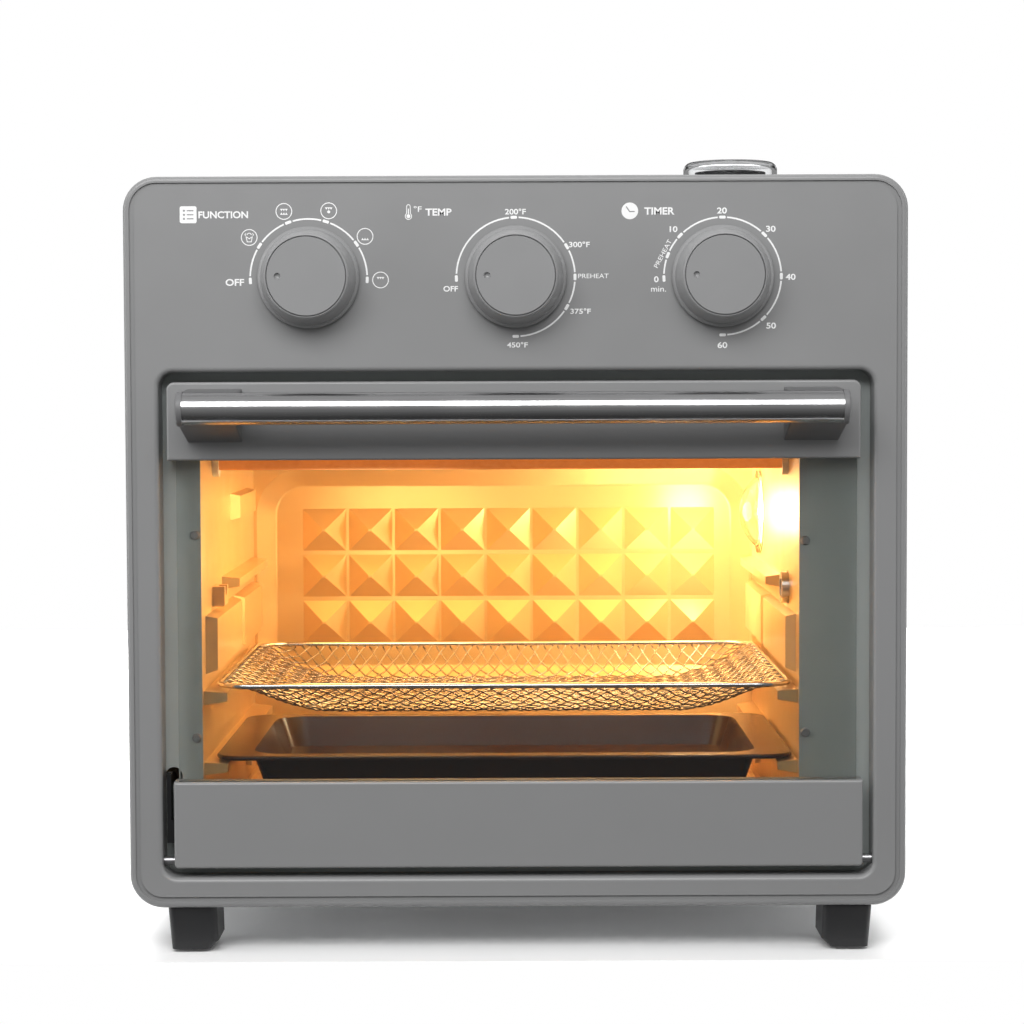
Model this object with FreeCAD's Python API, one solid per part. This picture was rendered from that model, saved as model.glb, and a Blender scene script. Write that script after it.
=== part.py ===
import FreeCAD, Part
import math
import os

Vector = FreeCAD.Vector

# ---------------------------------------------------------------------------
# Driving dimensions, millimetres. X to the right, Y to the back, Z up.
# Depths are counted backwards from the front face of the bezel. Heights are
# counted from a datum 20 mm under the bezel; the finished parts are lifted at
# the end so that the feet stand on Z 0.
# ---------------------------------------------------------------------------
width = 372.0
face_bottom = 20.0
face_height = 349.0
foot_height = 22.3
pad_height = 1.5
corner_radius = 16.0
bezel_depth = 16.0
body_depth = 299.2
gland_reach = 308.0
handle_depth = -23.5
handle_cap_radius = 8.2
handle_reach = handle_cap_radius - handle_depth
front_y = (handle_reach - gland_reach) / 2.0
face_top = face_bottom + face_height
floor_level = face_bottom - foot_height

sheet = 0.8
bezel_sheet = 2.0
casing_sheet = 1.0
casing_inset = 1.5
casing_side = width / 2.0 - casing_inset
casing_bottom = face_bottom + casing_inset
casing_top = face_top - casing_inset
casing_end = 298.0
rear_flange = 13.5

recess_side = 170.0
recess_bottom = 34.5
recess_top = 276.5
recess_radius = 7.0
recess_depth = 14.5
flange_sheet = 1.5
opening_round = 2.4

frame_sheet = 1.0
cavity_left = -152.0
cavity_right = 136.0
cavity_bottom = 50.0
cavity_top = 242.0
cavity_front = recess_depth + frame_sheet
cavity_back = 260.0
cavity_centre = (cavity_left + cavity_right) / 2.0
dish_depth = 7.0

knob_pitch = 98.0
knob_height = 321.0
knob_radius = 24.0
knob_face_radius = 19.6
knob_depth = 17.0
shaft_radius = 3.0
shaft_gap = 0.05

door_thickness = 12.5
door_left = -166.2
door_right = 163.8
band_left = -164.6
band_right = 165.2
band_sheet = 1.0
door_bottom = 39.0
bottom_band_top = 80.5
top_band_bottom = 234.5
door_top = 271.8
glass_front = 2.5
glass_sheet = 4.0
glass_grip = 8.0
glass_side = 162.3

hinge_depth = 6.0
hinge_height = 42.0
pin_radius = 2.0
pin_end = 174.3
pin_inner = 150.0
stay_radius = 40.6
stay_half_width = 2.0
stay_outer = -168.2
stay_sheet = 2.0
stay_tail = -16.0

handle_radius = 7.5
handle_height = 259.2
handle_left = -155.2
handle_right = 152.2
handle_cap = 2.9
bracket_width = 28.0
bracket_bottom = 243.2
bracket_top = 268.6

rack_left = -147.6
rack_right = 134.6
basket_front = 22.0
basket_back = 229.0
basket_height = 124.0
basket_wire = 1.3
basket_sag = 18.0
tray_back = 182.0
tray_height = 87.8
tray_sheet = 1.2
tray_rim = 2.2
tray_depth = 14.5

heater_radius = 3.2
heater_depths = (68.0, 212.0)
upper_heater_height = 231.0
lower_heater_height = 64.0

fan_depth = 140.0
fan_guard_radius = 60.0
fan_opening_radius = 56.0
fan_housing_radius = 62.0
fan_housing_top = 275.0

lamp_depth = 212.0
lamp_height = 199.0
spit_depth = 67.0
spit_height = 168.0

vent_x = 110.0
vent_depth = 100.0
vent_cap_radius = 23.9
vent_cap_top = 383.2
vent_flange_top = 369.0


def at(depth):
    """Y of a point this far behind the front face of the bezel."""
    return front_y + depth


# ---------------------------------------------------------------------------
# Small shape helpers
# ---------------------------------------------------------------------------
def block(x, depth, z):
    """Box between pairs of X, depth and Z."""
    size = (x[1] - x[0], depth[1] - depth[0], z[1] - z[0])
    return Part.makeBox(*size, Vector(x[0], at(depth[0]), z[0]))


def rod(radius, start, direction, length):
    """Cylinder from a start point (x, depth, z)."""
    x, depth, z = start
    return Part.makeCylinder(radius, length, Vector(x, at(depth), z), Vector(*direction))


def facing_plate(x, z, radius, depth):
    """Plate facing the front, with four rounded corners."""
    plate = block(x, depth, z)
    corners = [e for e in plate.Edges if abs(e.tangentAt(e.FirstParameter).y) > 0.99]
    return plate.makeFillet(radius, corners)


def rounded_loop(x, depth, z, radius):
    """Closed level wire: a rectangle with four round corners."""
    x0, x1 = x
    y0, y1 = at(depth[0]), at(depth[1])
    turn = radius * (1 - math.sqrt(0.5))

    def point(px, py):
        return Vector(px, py, z)

    corners = [
        (point(x1 - radius, y0), point(x1 - turn, y0 + turn), point(x1, y0 + radius)),
        (point(x1, y1 - radius), point(x1 - turn, y1 - turn), point(x1 - radius, y1)),
        (point(x0 + radius, y1), point(x0 + turn, y1 - turn), point(x0, y1 - radius)),
        (point(x0, y0 + radius), point(x0 + turn, y0 + turn), point(x0 + radius, y0)),
    ]
    edges = []
    for index, corner in enumerate(corners):
        following = corners[(index + 1) % 4]
        edges.append(Part.Arc(*corner).toShape())
        edges.append(Part.LineSegment(corner[2], following[0]).toShape())
    return Part.Wire(edges)


def level_plate(x, depth, z, radius):
    """Level plate with four rounded corners."""
    loop = rounded_loop(x, depth, z[0], radius)
    return Part.Face(loop).extrude(Vector(0, 0, z[1] - z[0]))


def basin(*levels):
    """Solid through level rounded rectangles, each (x, depth, z, radius)."""
    return Part.makeLoft([rounded_loop(*level) for level in levels], True, True)


def turned(profile, centre, direction):
    """Solid of revolution; profile points are (radius, distance along direction)."""
    points = [Vector(r, 0, h) for r, h in profile]
    outline = Part.Face(Part.makePolygon(points + points[:1]))
    solid = outline.revolve(Vector(0, 0, 0), Vector(0, 0, 1), 360)
    turn = FreeCAD.Rotation(Vector(0, 0, 1), Vector(*direction))
    x, depth, z = centre
    solid.Placement = FreeCAD.Placement(Vector(x, at(depth), z), turn)
    return solid


def round_edges(shape, radius, wanted):
    """Fillet every edge whose end points all pass the test."""
    edges = [e for e in shape.Edges if all(wanted(v.Point) for v in e.Vertexes)]
    return shape.makeFillet(radius, edges)


def pan_screw(head_seat, direction, head_radius=3.2, head_height=1.9, shank_length=4.0):
    """Cross-head screw. Its head stands on head_seat, its shank points backwards."""
    slot = head_radius * 0.3
    profile = [
        (0, -shank_length),
        (1.5, -shank_length),
        (1.5, 0),
        (head_radius, 0),
        (head_radius, head_height * 0.45),
        (head_radius * 0.72, head_height),
        (0, head_height),
    ]
    screw = turned(profile, head_seat, direction)
    tip = Vector(head_seat[0], at(head_seat[1]), head_seat[2])
    top = tip + Vector(*direction) * head_height
    for along in (Vector(direction[1], direction[2], direction[0]),
                  Vector(direction[2], direction[0], direction[1])):
        across = Vector(*direction).cross(along)
        size = along * (head_radius * 1.1) + across * slot * 0.6 + Vector(*direction) * 1.6
        size = Vector(abs(size.x), abs(size.y), abs(size.z))
        cross = Part.makeBox(size.x, size.y, size.z, top - size * 0.5)
        screw = screw.cut(cross)
    return screw


# ---------------------------------------------------------------------------
# Housing
# ---------------------------------------------------------------------------
def outline_box(inset):
    """X pair, Z pair and corner radius of the front outline, moved inwards."""
    half = width / 2.0 - inset
    return (-half, half), (face_bottom + inset, face_top - inset), corner_radius - inset


def outline_plate(inset, depth):
    x, z, radius = outline_box(inset)
    return facing_plate(x, z, radius, depth)


def recess_plate(margin, depth):
    """Plate with the outline of the door recess, grown by a margin."""
    side = recess_side + margin
    z = (recess_bottom - margin, recess_top + margin)
    return facing_plate((-side, side), z, recess_radius + margin, depth)


def front_bezel():
    bezel = outline_plate(0, (0, bezel_depth))
    bezel = round_edges(bezel, 2.2, lambda p: abs(p.y - at(0)) < 0.01)
    bezel = bezel.cut(outline_plate(bezel_sheet, (bezel_sheet, bezel_depth + 1)))
    groove = outline_plate(3.0, (-1, 0.9)).cut(outline_plate(5.4, (-2, 2)))
    bezel = bezel.cut(groove)
    bezel = bezel.fuse(recess_plate(flange_sheet, (bezel_sheet - 0.4, recess_depth)))
    bezel = bezel.cut(recess_plate(0, (-1, recess_depth + 1))).removeSplitter()
    bezel = round_edges(
        bezel,
        opening_round,
        lambda p: abs(p.y - at(0)) < 0.01 and abs(p.x) < recess_side + 0.01
        and recess_bottom - 0.01 < p.z < recess_top + 0.01,
    )
    for side in (-1, 1):
        hole = rod(3.0, (side * 165, hinge_depth, hinge_height), (side, 0, 0), 10)
        bezel = bezel.cut(hole)
    for column in (-1, 0, 1):
        hole = rod(5.0, (column * knob_pitch, -1, knob_height), (0, 1, 0), 4)
        bezel = bezel.cut(hole)
    return bezel.removeSplitter()


def slot_rows(count, pitch, first, make):
    """A row of equal cutters, made at evenly spaced places."""
    return [make(first + pitch * index) for index in range(count)]


def outer_casing():
    skin = outline_plate(casing_inset, (bezel_depth, casing_end))
    skin = skin.cut(outline_plate(casing_inset + casing_sheet, (bezel_depth - 1, casing_end + 1)))
    lip = outline_plate(casing_inset, (casing_end - 1.2, casing_end))
    lip = lip.cut(outline_plate(casing_inset + rear_flange, (0, casing_end + 1)))
    skin = skin.fuse(lip)
    edge = width / 2.0 - corner_radius
    skin = skin.cut(block((-edge, edge), (bezel_depth - 1, casing_end + 1),
                          (casing_bottom - 1, casing_bottom + rear_flange)))
    cutters = []
    for side in (-1, 1):
        for row in (105.0, 300.0):
            cutters += slot_rows(
                14, 9.0, 150.0,
                lambda d: block(sorted((side * 180, side * 190)), (d, d + 4), (row, row + 26)),
            )
    port = rod(19.0, (vent_x, vent_depth, casing_top - 5), (0, 0, 1), 10)
    cutters.append(port)
    for x, z in rear_screw_places():
        cutters.append(rod(1.65, (x, casing_end - 3, z), (0, 1, 0), 6))
    return skin.cut(Part.makeCompound(cutters)).removeSplitter()


def rear_screw_places():
    side = casing_side - 6.5
    places = [(s * side, z) for s in (-1, 1) for z in (60.0, 195.0, 330.0)]
    return places + [(x, casing_top - 6.5) for x in (-95.0, 0.0, 95.0)]


def rear_panel():
    x, z, radius = outline_box(casing_inset)
    panel = facing_plate(x, z, radius, (casing_end, body_depth))
    cutters = []
    for column in (-95.0, 0.0, 95.0):
        for row in (100.0, 255.0):
            cutters += slot_rows(
                9, 9.0, row,
                lambda level: block((column - 32, column + 32), (290, 310), (level, level + 3.6)),
            )
    gland = gland_place()
    cutters.append(rod(7.1, (gland[0], 290, gland[1]), (0, 1, 0), 20))
    for sx, sz in rear_screw_places():
        cutters.append(rod(1.65, (sx, casing_end - 3, sz), (0, 1, 0), 6))
    return panel.cut(Part.makeCompound(cutters))


def gland_place():
    return 140.0, 60.0


def cord_gland():
    x, z = gland_place()
    profile = [
        (4.2, -3), (8.6, -3), (8.6, 0), (7.0, 0), (7.0, 1.2),
        (10.0, 1.2), (10.0, 4.0), (7.2, gland_reach - casing_end), (4.2, gland_reach - casing_end),
    ]
    return turned(profile, (x, casing_end, z), (0, 1, 0))


def base_panel():
    edge = width / 2.0 - corner_radius - 0.3
    z = (casing_bottom, casing_bottom + 1.2)
    panel = block((-edge, edge), (bezel_depth + 0.3, casing_end - 0.3), z)
    cutters = []
    for row in (70.0, 130.0, 190.0):
        cutters += slot_rows(
            17, 16.0, -130.0,
            lambda x: block((x, x + 5), (row, row + 34), (casing_bottom - 2, casing_bottom + 4)),
        )
    return panel.cut(Part.makeCompound(cutters))


def foot_places():
    return [(x, d) for x in (-156.7, 158.4) for d in (18.5, 278.0)]


def foot(x, depth):
    """Moulded foot under the base; it leans inwards and is rounded at its inner lower edge."""
    inwards = -1 if x > 0 else 1
    half = 11.7

    def level(outer, inner, length, z):
        sides = sorted((x - inwards * (half + outer), x + inwards * (half + inner)))
        return (sides, (depth - length, depth + length), z, 3.0)

    body = basin(
        level(-1.6, -3.4, 14.5, floor_level + pad_height),
        level(-1.3, 0.6, 15.0, floor_level + 5.5),
        level(0.0, 0.0, 16.0, face_bottom),
    )
    riser_front = max(bezel_depth + 0.3, depth - 15)
    riser = block((x - 11, x + 11), (riser_front, depth + 15), (face_bottom, casing_bottom))
    return body.fuse(riser).removeSplitter()


def feet():
    return Part.makeCompound([foot(x, d) for x, d in foot_places()])


def foot_pads():
    return Part.makeCompound(
        [rod(8.0, (x, d, floor_level), (0, 0, 1), pad_height) for x, d in foot_places()]
    )


# ---------------------------------------------------------------------------
# Cooking cavity: separate pressed sheets
# ---------------------------------------------------------------------------
def frustum(base, top):
    """Solid between two rectangles given as corner points."""
    wires = [Part.makePolygon(points + points[:1]) for points in (base, top)]
    return Part.makeLoft(wires, True, True)


def side_pad(face_x, inwards, depth, z, height, draft=3.0):
    """Pressed pad of a side wall: the outer form and the hollow behind it."""
    low = face_x
    high = face_x + inwards * height

    def corners(x, shrink):
        d0, d1 = at(depth[0] + shrink), at(depth[1] - shrink)
        z0, z1 = z[0] + shrink * 0.4, z[1] - shrink * 0.4
        return [Vector(x, d0, z0), Vector(x, d1, z0), Vector(x, d1, z1), Vector(x, d0, z1)]

    form = frustum(corners(low, 0.0), corners(high, draft))
    hollow = form.copy()
    hollow.translate(Vector(-inwards * sheet, 0, 0))
    centre = hollow.BoundBox.Center
    squeeze = FreeCAD.Matrix()
    squeeze.move(Vector(0, -centre.y, -centre.z))
    squeeze.scale(1.0, 1 - 2 * sheet / (depth[1] - depth[0]), 1 - 2 * sheet / (z[1] - z[0]))
    squeeze.move(Vector(0, centre.y, centre.z))
    return form, hollow.transformGeometry(squeeze)


def rack_grooves(face_x, inwards, reach):
    """Pads that carry the basket and the tray, and the guides above them."""
    pads = [
        side_pad(face_x, inwards, (20, 252), (115.5, 122.2), reach),
        side_pad(face_x, inwards, (20, 252), (81.1, 87.5), reach),
        side_pad(face_x, inwards, (29, 148), (129.5, 158.0), reach * 0.5, 4.0),
        side_pad(face_x, inwards, (153, 252), (129.5, 158.0), reach * 0.5, 4.0),
        side_pad(face_x, inwards, (100, 252), (165.5, 172.0), reach * 0.8),
    ]
    return pads


def pressed_wall(face_x, inwards, reach, extra):
    """Side wall of the cavity with its pads and the four heater holes."""
    x = sorted((face_x, face_x - inwards * sheet))
    wall = block(x, (cavity_front, cavity_back), (cavity_bottom - sheet, cavity_top + sheet))
    pads = rack_grooves(face_x, inwards, reach) + extra
    wall = wall.fuse([form for form, hollow in pads])
    wall = wall.cut(Part.makeCompound([hollow for form, hollow in pads]))
    holes = []
    for depth in heater_depths:
        for level in (upper_heater_height, lower_heater_height):
            holes.append(rod(4.5, (face_x + 4, depth, level), (-1, 0, 0), 8))
    return wall.cut(Part.makeCompound(holes))


def cavity_left_wall():
    pad = side_pad(cavity_left, 1, (141, 226), (199, 213), 5.0)
    wall = pressed_wall(cavity_left, 1, 11.0, [pad])
    return wall.cut(rod(1.7, (cavity_left + 2, spit_depth, spit_height - 4), (-1, 0, 0), 6))


def cavity_right_wall():
    wall = pressed_wall(cavity_right, -1, 9.5, [])
    wall = wall.cut(rod(20.0, (cavity_right + 4, lamp_depth, lamp_height), (-1, 0, 0), 8))
    return wall.cut(rod(8.6, (cavity_right + 4, spit_depth, spit_height), (-1, 0, 0), 8))


def rear_pad(x, z, height, draft):
    """Raised pyramid on the dished middle of the rear wall and the hollow behind it."""
    face = at(cavity_back + dish_depth)

    def corners(y, shrink):
        x0, x1 = x[0] + shrink, x[1] - shrink
        z0, z1 = z[0] + shrink, z[1] - shrink
        return [Vector(x0, y, z0), Vector(x1, y, z0), Vector(x1, y, z1), Vector(x0, y, z1)]

    form = frustum(corners(face, 0.0), corners(face - height, draft))
    hollow = frustum(corners(face + sheet, sheet), corners(face - height + sheet + 0.6, draft))
    return form, hollow


def cavity_rear_wall():
    x = (cavity_left - sheet, cavity_right + sheet)
    wall = block(x, (cavity_back, cavity_back + sheet), (cavity_bottom - sheet, cavity_top + sheet))
    dish_x, dish_z, dish_radius, dish_slope = (-150.3, 134.6), (97.0, 222.6), 27.0, 10.4

    def dish(margin, extra):
        """Solid of the dished middle, grown outwards and backwards."""
        wires = []
        for inset, depth in ((margin, cavity_back), (dish_slope + margin, cavity_back + dish_depth)):
            plate = facing_plate((dish_x[0] + inset, dish_x[1] - inset),
                                 (dish_z[0] + inset, dish_z[1] - inset),
                                 dish_radius - inset, (depth + extra, depth + 5))
            front = min(plate.Faces, key=lambda face: face.CenterOfMass.y)
            wires.append(front.OuterWire)
        return Part.makeLoft(wires, True, True)

    hollow = dish(0.0, -0.01)
    hollow = round_edges(hollow, 2.5, lambda p: p.y > at(cavity_back + dish_depth - 0.1))
    wall = wall.fuse(dish(-sheet, sheet)).cut(hollow)
    columns, rows = 9, 3
    pitch_x, pitch_z, size_x, size_z = 26.7, 26.8, 25.2, 24.4
    start_x = cavity_centre + 3.2 - pitch_x * (columns - 1) / 2.0
    start_z = 133.2
    forms, hollows = [], []
    for column in range(columns):
        for row in range(rows):
            cx, cz = start_x + pitch_x * column, start_z + pitch_z * row
            form, hollow = rear_pad(
                (cx - size_x / 2, cx + size_x / 2), (cz - size_z / 2, cz + size_z / 2), 7.5, 11.6)
            forms.append(form)
            hollows.append(hollow)
    wall = wall.fuse(forms)
    return wall.cut(Part.makeCompound(hollows))


def cavity_ceiling():
    plate = block((cavity_left, cavity_right), (cavity_front, cavity_back),
                  (cavity_top, cavity_top + sheet))
    opening = rod(fan_opening_radius, (cavity_centre, fan_depth, cavity_top - 2), (0, 0, 1), 6)
    return plate.cut(opening)


def cavity_floor():
    return block((cavity_left, cavity_right), (cavity_front, cavity_back),
                 (cavity_bottom - sheet, cavity_bottom))


def cavity_front_frame():
    plate = recess_plate(flange_sheet, (recess_depth, cavity_front))
    opening = block((cavity_left, cavity_right), (recess_depth - 1, cavity_front + 1),
                    (cavity_bottom, cavity_top))
    plate = plate.cut(opening)
    hole_height = hinge_height + stay_radius - 0.9
    plate = plate.cut(rod(4.3, (stay_outer + 2.0, recess_depth - 1, hole_height), (0, 1, 0), 4))
    for x, z in frame_screw_places():
        plate = plate.cut(rod(1.65, (x, recess_depth - 1, z), (0, 1, 0), 4))
    return plate


def frame_screw_places():
    return [
        (cavity_left - 2.8, 198.3), (cavity_left - 2.8, 100.2),
        (cavity_right + 2.8, 194.6), (cavity_right + 2.8, 101.9),
    ]


def frame_screws():
    return Part.makeCompound(
        [pan_screw((x, recess_depth, z), (0, -1, 0), 2.3, 1.3) for x, z in frame_screw_places()]
    )


def rear_screws():
    return Part.makeCompound(
        [pan_screw((x, body_depth, z), (0, 1, 0)) for x, z in rear_screw_places()]
    )


def crumb_tray():
    x, depth = (cavity_left + 5, cavity_right - 5), (19.0, 250.0)
    outer = level_plate(x, depth, (cavity_bottom + 0.2, cavity_bottom + 5.0), 6.0)
    inner_x, inner_depth = (x[0] + sheet, x[1] - sheet), (depth[0] + sheet, depth[1] - sheet)
    inner = level_plate(inner_x, inner_depth, (cavity_bottom + 1.0, cavity_bottom + 6.0), 5.2)
    pan = outer.cut(inner)
    tab = block((cavity_centre - 30, cavity_centre + 30), (15.9, 19.4),
                (cavity_bottom + 4.2, cavity_bottom + 5.0))
    return pan.fuse(tab).removeSplitter()


# ---------------------------------------------------------------------------
# Heating, air and light
# ---------------------------------------------------------------------------
def heater(depth, level):
    """Sheathed rod across the cavity, with a thin terminal at each end."""
    left, right = cavity_left - 8.0, cavity_right + 8.0
    rod_body = rod(heater_radius, (left, depth, level), (1, 0, 0), right - left)
    terminals = rod(1.6, (left - 5, depth, level), (1, 0, 0), right - left + 10)
    return rod_body.fuse(terminals)


def heaters(level):
    return Part.makeCompound([heater(depth, level) for depth in heater_depths])


def insulator(face_x, inwards, depth, level):
    """Ceramic bush that holds a heater rod in the wall."""
    bore, neck, collar, reach = heater_radius + 0.05, 4.4, 6.4, 3.0
    profile = [
        (bore, -reach), (collar, -reach), (collar, 0), (neck, 0), (neck, sheet),
        (collar, sheet), (collar, sheet + reach), (bore, sheet + reach),
    ]
    return turned(profile, (face_x, depth, level), (-inwards, 0, 0))


def heater_insulators():
    bushes = []
    for face_x, inwards in ((cavity_left, 1), (cavity_right, -1)):
        for depth in heater_depths:
            for level in (upper_heater_height, lower_heater_height):
                bushes.append(insulator(face_x, inwards, depth, level))
    return Part.makeCompound(bushes)


def fan_guard():
    """Dished grille under the ceiling, with two rings of radial slots."""
    centre = (cavity_centre, fan_depth)
    bottom = cavity_top - 7.0
    dish = rod(fan_guard_radius, (*centre, bottom), (0, 0, 1), 7.0)
    dish = round_edges(dish, 2.0, lambda p: abs(p.z - bottom) < 0.01)
    dish = dish.cut(rod(fan_guard_radius - 1, (*centre, bottom + 1), (0, 0, 1), 8.0))
    slots = []
    for count, start, length in ((12, 14.0, 18.0), (24, 36.0, 18.0)):
        for index in range(count):
            slot = Part.makeBox(length, 3.2, 4, Vector(start, -1.6, -1))
            slot.rotate(Vector(0, 0, 0), Vector(0, 0, 1), 360.0 * index / count)
            slot.translate(Vector(centre[0], at(centre[1]), bottom))
            slots.append(slot)
    return dish.cut(Part.makeCompound(slots))


def fan_housing():
    centre = (cavity_centre, fan_depth)
    base = cavity_top + sheet
    can = rod(fan_housing_radius, (*centre, base), (0, 0, 1), fan_housing_top - base)
    can = can.cut(rod(fan_housing_radius - sheet, (*centre, base), (0, 0, 1),
                      fan_housing_top - sheet - base))
    lip = rod(fan_housing_radius + 6, (*centre, base), (0, 0, 1), sheet)
    lip = lip.cut(rod(fan_housing_radius - sheet, (*centre, base - 1), (0, 0, 1), 4))
    can = can.fuse(lip)
    return can.cut(rod(6.0, (*centre, fan_housing_top - 3), (0, 0, 1), 6)).removeSplitter()


def bladed_wheel(hub_radius, tip_radius, levels, blades, lean, bore):
    """Hub with upright blades, centred on the fan axis."""
    low, high = levels
    wheel = rod(hub_radius, (cavity_centre, fan_depth, low), (0, 0, 1), high - low)
    vanes = []
    for index in range(blades):
        vane = Part.makeBox(tip_radius - hub_radius + 2, 1.2, high - low,
                            Vector(hub_radius - 2, -0.6, low))
        vane.rotate(Vector(hub_radius - 1, 0, 0), Vector(0, 0, 1), lean)
        vane.rotate(Vector(0, 0, 0), Vector(0, 0, 1), 360.0 * index / blades)
        vane.translate(Vector(cavity_centre, at(fan_depth), 0))
        vanes.append(vane)
    wheel = wheel.fuse(vanes)
    return wheel.cut(rod(bore, (cavity_centre, fan_depth, low - 5), (0, 0, 1), high - low + 10))


def fan_wheel():
    wheel = bladed_wheel(9.0, 50.0, (248.0, 262.0), 10, 18.0, shaft_radius + 0.02)
    disc = rod(50.0, (cavity_centre, fan_depth, 262.0), (0, 0, 1), 1.0)
    disc = disc.cut(rod(shaft_radius + 0.02, (cavity_centre, fan_depth, 260), (0, 0, 1), 5))
    return wheel.fuse(disc).removeSplitter()


def cooling_fan():
    return bladed_wheel(7.0, 30.0, (316.0, 326.0), 7, 25.0, shaft_radius + 0.02)


def fan_shaft():
    return rod(shaft_radius, (cavity_centre, fan_depth, 246.5), (0, 0, 1), 82.0)


def fan_motor():
    centre = (cavity_centre, fan_depth)
    motor = rod(28.0, (*centre, fan_housing_top), (0, 0, 1), 30.0)
    motor = motor.fuse(rod(9.0, (*centre, fan_housing_top + 30), (0, 0, 1), 5.0))
    return motor.cut(rod(shaft_radius + shaft_gap, (*centre, fan_housing_top - 2), (0, 0, 1), 40))


def lamp_holder():
    start = (cavity_right + sheet, lamp_depth, lamp_height)
    cup = rod(22.0, start, (1, 0, 0), 22.0)
    cup = cup.cut(rod(20.0, start, (1, 0, 0), 20.0))
    return cup.cut(rod(6.1, start, (1, 0, 0), 30.0))


def lamp_bulb():
    """Small round bulb and its cap, as one turned form."""
    radius, neck, reach, steps = 9.0, 6.0, 25.0, 12
    last = math.asin(neck / radius)
    profile = [(0.0, 0.0)]
    for step in range(1, steps + 1):
        angle = (math.pi - last) * step / steps
        profile.append((radius * math.sin(angle), radius * (1 - math.cos(angle))))
    profile += [(neck, reach + 1.0), (0.0, reach + 1.0)]
    return turned(profile, (cavity_right - 1.0, lamp_depth, lamp_height), (1, 0, 0))


def lamp_lens():
    """Shallow glass dome with a flat rim, on the cavity side of the wall."""
    rim_radius, rise, wall = 20.0, 10.0, 2.0
    outer_radius = (rim_radius ** 2 + rise ** 2) / (2 * rise)
    face = cavity_right - 1.6
    centre = Vector(face - rise + outer_radius, at(lamp_depth), lamp_height)
    dome = Part.makeSphere(outer_radius, centre).cut(Part.makeSphere(outer_radius - wall, centre))
    keep = rod(rim_radius + 5, (face + 0.8, lamp_depth, lamp_height), (-1, 0, 0), rise + 5)
    dome = dome.common(keep)
    rim = rod(rim_radius + 3, (face, lamp_depth, lamp_height), (1, 0, 0), 1.6)
    rim = rim.cut(rod(rim_radius - 2.2, (face - 5, lamp_depth, lamp_height), (1, 0, 0), 10))
    return dome.fuse(rim).removeSplitter()


# ---------------------------------------------------------------------------
# Controls
# ---------------------------------------------------------------------------
def control_unit(x, body):
    """Switch body behind the panel with a bearing for its shaft."""
    bore = rod(shaft_radius + shaft_gap, (x, bezel_sheet - 1, knob_height), (0, 1, 0), 15.0)
    return body.cut(bore)


def function_switch():
    x = -knob_pitch
    body = block((x - 19, x + 19), (bezel_sheet, 26), (knob_height - 19, knob_height + 19))
    wafer = rod(17.0, (x, 26, knob_height), (0, 1, 0), 10)
    return control_unit(x, body.fuse(wafer))


def thermostat():
    body = block((-17, 17), (bezel_sheet, 22), (knob_height - 22, knob_height + 22))
    cup = rod(13.0, (0, 22, knob_height), (0, 1, 0), 12)
    return control_unit(0.0, body.fuse(cup))


def timer_unit():
    x = knob_pitch
    body = rod(25.0, (x, bezel_sheet, knob_height), (0, 1, 0), 22)
    bell = rod(20.0, (x, 24, knob_height), (0, 1, 0), 12)
    return control_unit(x, body.fuse(bell))


def knob_body(x):
    """Turned knob: base flange, curved flank, and a seat for the face disc."""
    profile = [
        (shaft_radius + 0.05, 0.6), (knob_radius - 0.8, 0.6), (knob_radius, 1.2),
        (knob_radius, 3.0), (knob_radius - 0.5, 3.6), (knob_radius - 1.4, 4.2),
        (knob_radius - 2.0, 8.0), (knob_radius - 2.9, 12.0), (knob_radius - 3.6, 14.6),
        (knob_face_radius + 0.2, knob_depth - 0.7), (knob_face_radius - 0.4, knob_depth),
        (knob_face_radius - 0.7, knob_depth), (knob_face_radius - 0.7, knob_depth - 1.6),
        (shaft_radius + 0.05, knob_depth - 1.6),
    ]
    return turned(profile, (x, 0, knob_height), (0, -1, 0))


def knob_face(x):
    """Face disc with a round dimple that marks the setting."""
    radius = knob_face_radius - 1.1
    seat = knob_depth - 1.6
    profile = [(0, seat), (radius, seat), (radius, knob_depth - 0.25),
               (radius - 0.25, knob_depth), (0, knob_depth)]
    disc = turned(profile, (x, 0, knob_height), (0, -1, 0))
    ball = Part.makeSphere(1.65, Vector(x - 13.4, at(-knob_depth - 0.35), knob_height))
    return disc.cut(ball)


def knob_shaft(x):
    start = (x, bezel_sheet + 12.0, knob_height)
    length = bezel_sheet + 12.0 + knob_depth - 2.0
    return rod(shaft_radius, start, (0, -1, 0), length)


# ---------------------------------------------------------------------------
# Door
# ---------------------------------------------------------------------------
def glass_block(gap):
    """The glass pane, or the room it takes up with a gap around it."""
    z = (bottom_band_top - glass_grip - gap, top_band_bottom + glass_grip + gap)
    depth = (glass_front - gap, glass_front + glass_sheet + gap)
    return block((-glass_side - gap, glass_side + gap), depth, z)


def band(x, z, radius, rounded_high):
    """Folded sheet band of the door, hollow inside, open for the glass."""
    shell = block(x, (0, door_thickness), z)
    level = z[1] if rounded_high else z[0]
    corners = [
        e for e in shell.Edges
        if abs(e.tangentAt(e.FirstParameter).y) > 0.99 and abs(e.Vertexes[0].Z - level) < 0.01
    ]
    shell = shell.makeFillet(radius, corners)
    shell = round_edges(shell, 1.2, lambda p: abs(p.y - at(0)) < 0.01)
    room = block((x[0] + band_sheet, x[1] - band_sheet),
                 (band_sheet + 0.4, door_thickness - band_sheet),
                 (z[0] + band_sheet, z[1] - band_sheet))
    return shell.cut(room).cut(glass_block(0.15))


def door_top_band():
    body = band((door_left, door_right), (top_band_bottom, door_top), 3.8, True)
    for x, z in handle_screw_places():
        body = body.cut(rod(1.65, (x, -2, z), (0, 1, 0), 6))
    return body


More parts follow.
